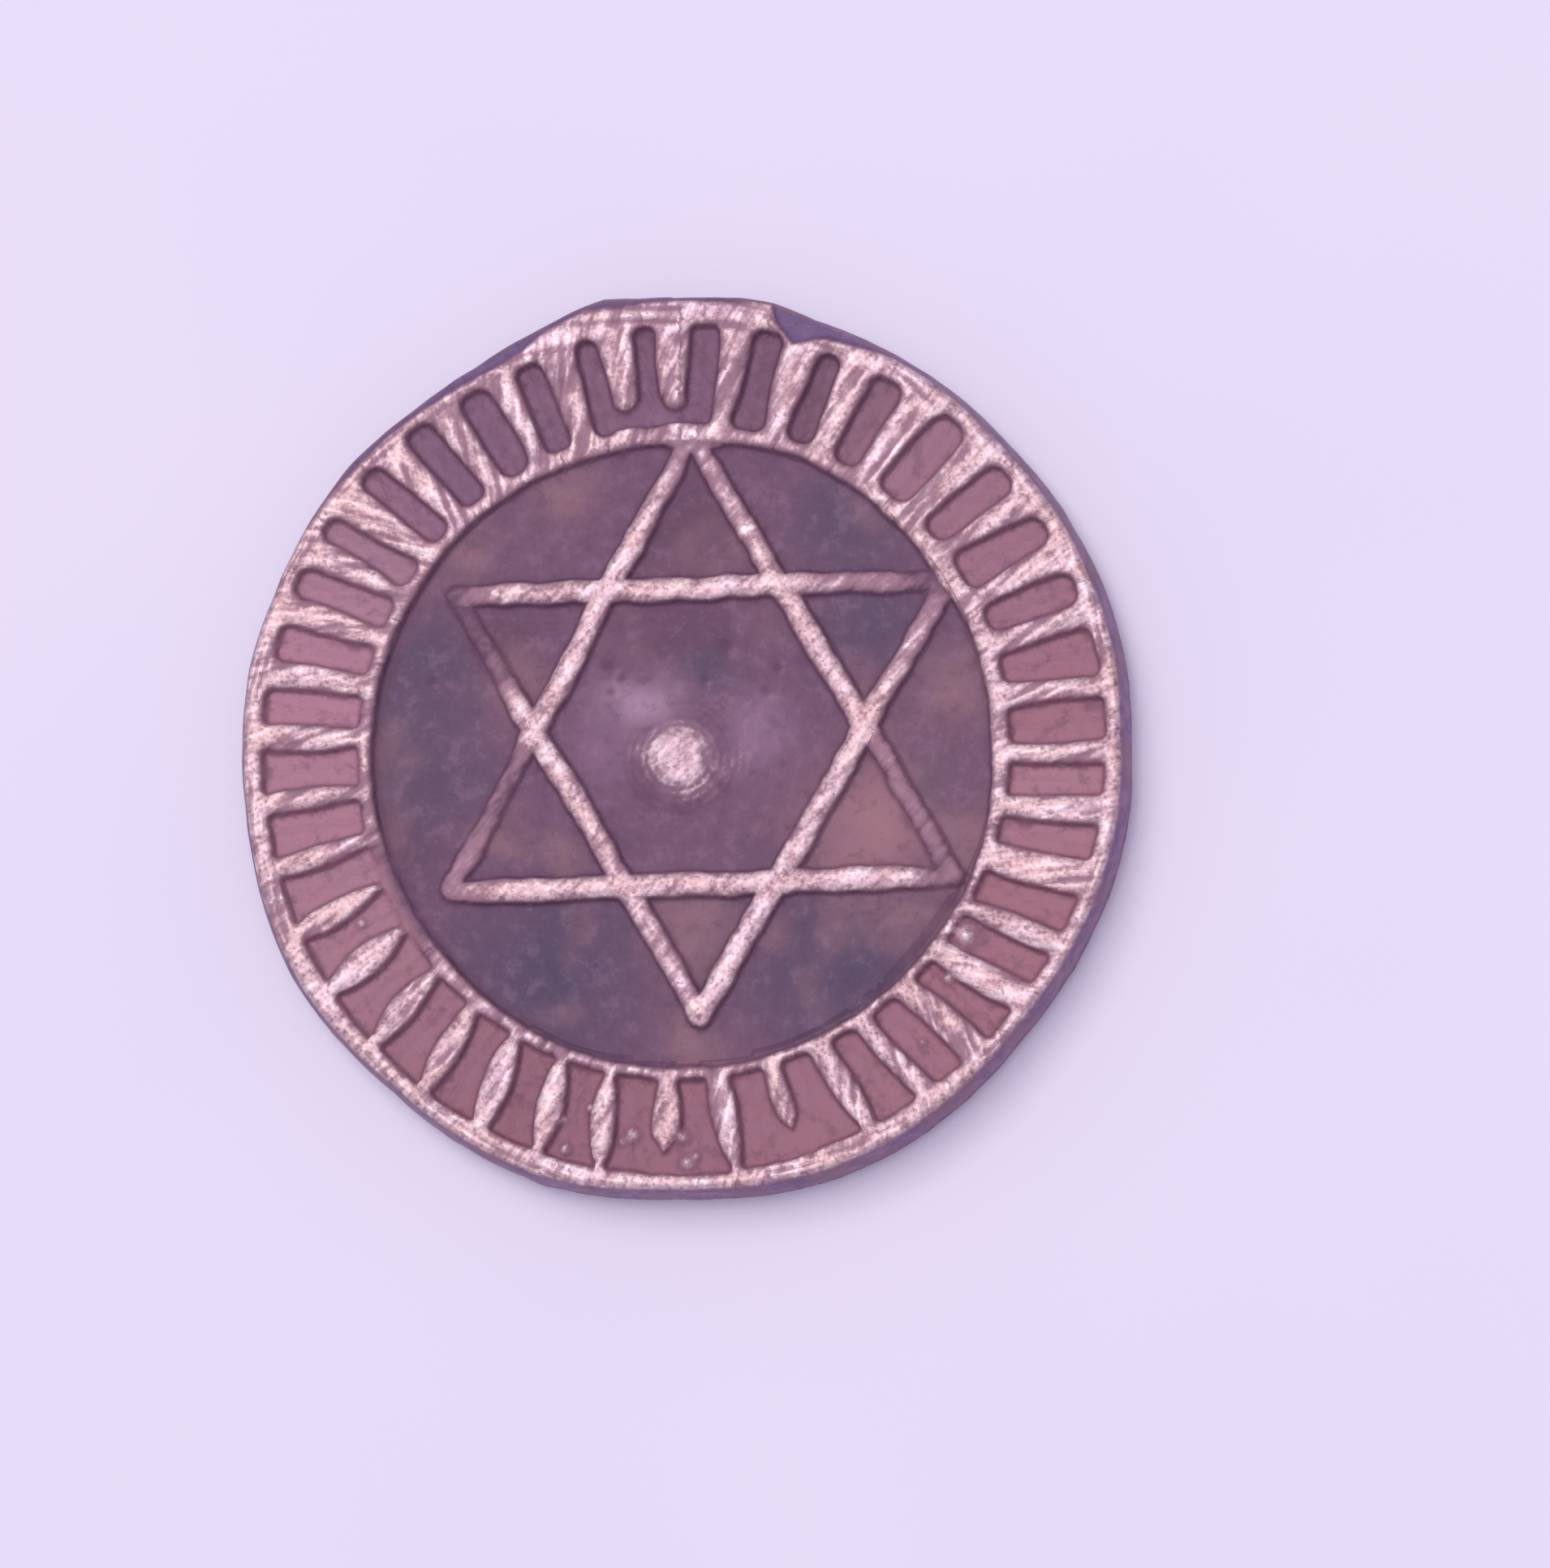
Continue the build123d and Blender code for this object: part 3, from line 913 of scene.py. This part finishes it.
def token_metal():
    """Return the copper alloy: worn bright crests, reddish and purple patinated lows, and dark corners of
    grime and painted shade.
    """
    material, nodes, shader, where = new_material("worn_copper_alloy")
    grain = nodes.noise(where, 9.0 / MM, 2.0, 0.6)
    blotch = nodes.noise(where, 3.2 / MM, 3.0, 0.6)
    cloud = nodes.noise(where, 0.7 / MM, 3.0, 0.6)
    pits = nodes.noise(where, 5.5 / MM, 2.0, 0.5)
    mottle = nodes.noise(where, 2.2 / MM, 4.0, 0.65)
    strokes = nodes.noise(nodes.attribute("strokes", "Vector"), 5.5, 2.0, 0.5)

    raised = nodes.attribute("raised")
    polish = nodes.attribute("polish")
    grime_and_shade = nodes.attribute("grime_and_shade")
    on_edge = nodes.attribute("edge")
    tint = nodes.attribute("tint", "Color")

    mixed = nodes.maths("MULTIPLY_ADD", grain, 0.35, nodes.maths("MULTIPLY", blotch, 0.25))
    crest = nodes.ramp(nodes.maths("MULTIPLY_ADD", strokes, 0.4, mixed), CREST_COLOURS)
    crest = nodes.mix(nodes.step(cloud, 0.35, 0.65), crest, rgba(250, 244, 238), "MULTIPLY")
    crest = nodes.stain(nodes.step(pits, 0.4, 0.3), 0.6, crest, rgba(136, 100, 118))
    worn = nodes.maths("MULTIPLY_ADD", nodes.maths("SUBTRACT", blotch, 0.5), 0.55, polish)
    worn = nodes.maths("MULTIPLY_ADD", nodes.maths("SUBTRACT", strokes, 0.5), 0.7, worn)
    ridge = nodes.mix(nodes.step(worn, 0.0, 0.45), rgba(106, 70, 94), rgba(160, 120, 138))
    ridge = nodes.mix(nodes.step(worn, 0.4, 0.85), ridge, crest)

    low = nodes.stain(nodes.step(mottle, 0.5, 0.68), 0.26, tint, rgba(150, 114, 142))
    low = nodes.stain(nodes.step(mottle, 0.48, 0.32), 0.34, low, rgba(86, 58, 86))
    low = nodes.stain(nodes.step(blotch, 0.55, 0.7), 0.09, low, rgba(166, 130, 156))
    side = nodes.mix(nodes.step(mottle, 0.35, 0.65), rgba(122, 90, 132), rgba(152, 116, 148))
    side = nodes.stain(nodes.step(cloud, 0.45, 0.6), 0.7, side, rgba(144, 104, 122))

    colour = nodes.mix(on_edge, nodes.mix(raised, low, ridge), side)
    # Painted shade and grime darken the corners, pits, feet of raised edges and lines on the edge wall.
    colour = nodes.stain(grime_and_shade, 0.6, colour, rgba(90, 56, 80))
    nodes.put(shader.inputs["Base Color"], colour)

    bare = nodes.maths("MULTIPLY", nodes.step(worn, 0.3, 0.9), raised)
    nodes.put(shader.inputs["Metallic"], nodes.maths("MULTIPLY_ADD", bare, 0.4, 0.1))
    rough = nodes.maths("MULTIPLY_ADD", bare, -0.16, 0.62)
    nodes.put(shader.inputs["Roughness"], nodes.maths("MULTIPLY_ADD", grain, 0.12, rough))

    height = nodes.maths("MULTIPLY_ADD", grain, 0.6, nodes.maths("MULTIPLY_ADD", blotch, 0.6, strokes))
    bump = nodes.add("ShaderNodeBump", {"Strength": 0.6, "Distance": 0.02 * MM, "Height": height})
    nodes.put(shader.inputs["Normal"], bump.outputs["Normal"])
    return material


def stage_material():
    """Return the pale lavender table top."""
    material, nodes, shader, where = new_material("pale_table")
    cloud = nodes.noise(where, 0.05 / MM, 2.0, 0.5)
    nodes.put(shader.inputs["Base Color"], nodes.mix(cloud, rgba(228, 223, 244), rgba(237, 230, 247)))
    shader.inputs["Roughness"].default_value = 0.85
    shader.inputs["Specular IOR Level"].default_value = 0.1
    return material


# ---------------------------------------------------------------------------------------------------
# Token
# ---------------------------------------------------------------------------------------------------
COARSE_SPACING = 0.26
WALL_ROWS = 9
TOLERANCE = 0.005
FINEST_EDGE = 0.06
TRIANGLE_BUDGET = 195_000
REFINING_ROUNDS = 6

shape = TokenMesh(COARSE_SPACING, WALL_ROWS)
for _ in range(REFINING_ROUNDS):
    shape.refine(TOLERANCE, FINEST_EDGE, TRIANGLE_BUDGET)
token_mesh = mesh_from("cast_token", shape.places, shape.triangles)
token_mesh.shade_smooth()
paint(token_mesh)
token_mesh.materials.append(token_metal())
token = bpy.data.objects.new("cast_token", token_mesh)
bpy.context.scene.collection.objects.link(token)
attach(token, "root")
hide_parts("token")


# ---------------------------------------------------------------------------------------------------
# Stage, light and camera
# ---------------------------------------------------------------------------------------------------
FLOOR_HALF = 0.6

floor_mesh = bpy.data.meshes.new("table")
corners = [(x, y, 0) for x in (-FLOOR_HALF, FLOOR_HALF) for y in (-FLOOR_HALF, FLOOR_HALF)]
floor_mesh.from_pydata(corners, [], [(0, 2, 3, 1)])
floor_mesh.materials.append(stage_material())
table = bpy.data.objects.new("table", floor_mesh)
bpy.context.scene.collection.objects.link(table)

world = bpy.data.worlds.new("soft_room")
world.use_nodes = True
background = world.node_tree.nodes["Background"]
background.inputs["Color"].default_value = (0.86, 0.81, 1.0, 1)
background.inputs["Strength"].default_value = 0.5
bpy.context.scene.world = world


def area_light(name, place, size, watts, colour):
    """Add a square soft light that faces the token."""
    data = bpy.data.lights.new(name, "AREA")
    data.size = size
    data.energy = watts
    data.color = colour
    light = bpy.data.objects.new(name, data)
    light.location = place
    light.rotation_euler = (-Vector(place)).to_track_quat("-Z", "Y").to_euler()
    bpy.context.scene.collection.objects.link(light)


area_light("window", place=(-0.13, 0.17, 0.46), size=0.22, watts=0.82, colour=(1.0, 0.97, 0.9))
area_light("ceiling", place=(0.03, 0.0, 0.6), size=0.3, watts=1.12, colour=(1.0, 0.95, 0.97))

CAMERA_TILT = 10.5
CAMERA_BEARING = 49.0
CAMERA_LENS = 120.0
SENSOR = 36.0
PICTURE_HEIGHT = 39.4
PICTURE_MIDDLE = (2.6, -1.12)

tilt, bearing = math.radians(CAMERA_TILT), math.radians(CAMERA_BEARING)
back = Vector((math.sin(bearing) * math.sin(tilt), -math.cos(bearing) * math.sin(tilt), math.cos(tilt)))
up = (Vector((0, 1, 0)) - back * back.y).normalized()
right = up.cross(back)
aim = Vector((PICTURE_MIDDLE[0] * MM, PICTURE_MIDDLE[1] * MM, token_high.z))
distance = CAMERA_LENS / SENSOR * PICTURE_HEIGHT * MM

camera_data = bpy.data.cameras.new("camera")
camera_data.lens = CAMERA_LENS
camera_data.sensor_width = SENSOR
camera_data.clip_start = 0.005
camera = bpy.data.objects.new("camera", camera_data)
turn = Matrix((right, up, back)).transposed().to_4x4()
camera.matrix_world = Matrix.Translation(aim + back * distance) @ turn
bpy.context.scene.collection.objects.link(camera)
bpy.context.scene.camera = camera
bpy.context.scene.view_settings.view_transform = "Standard"
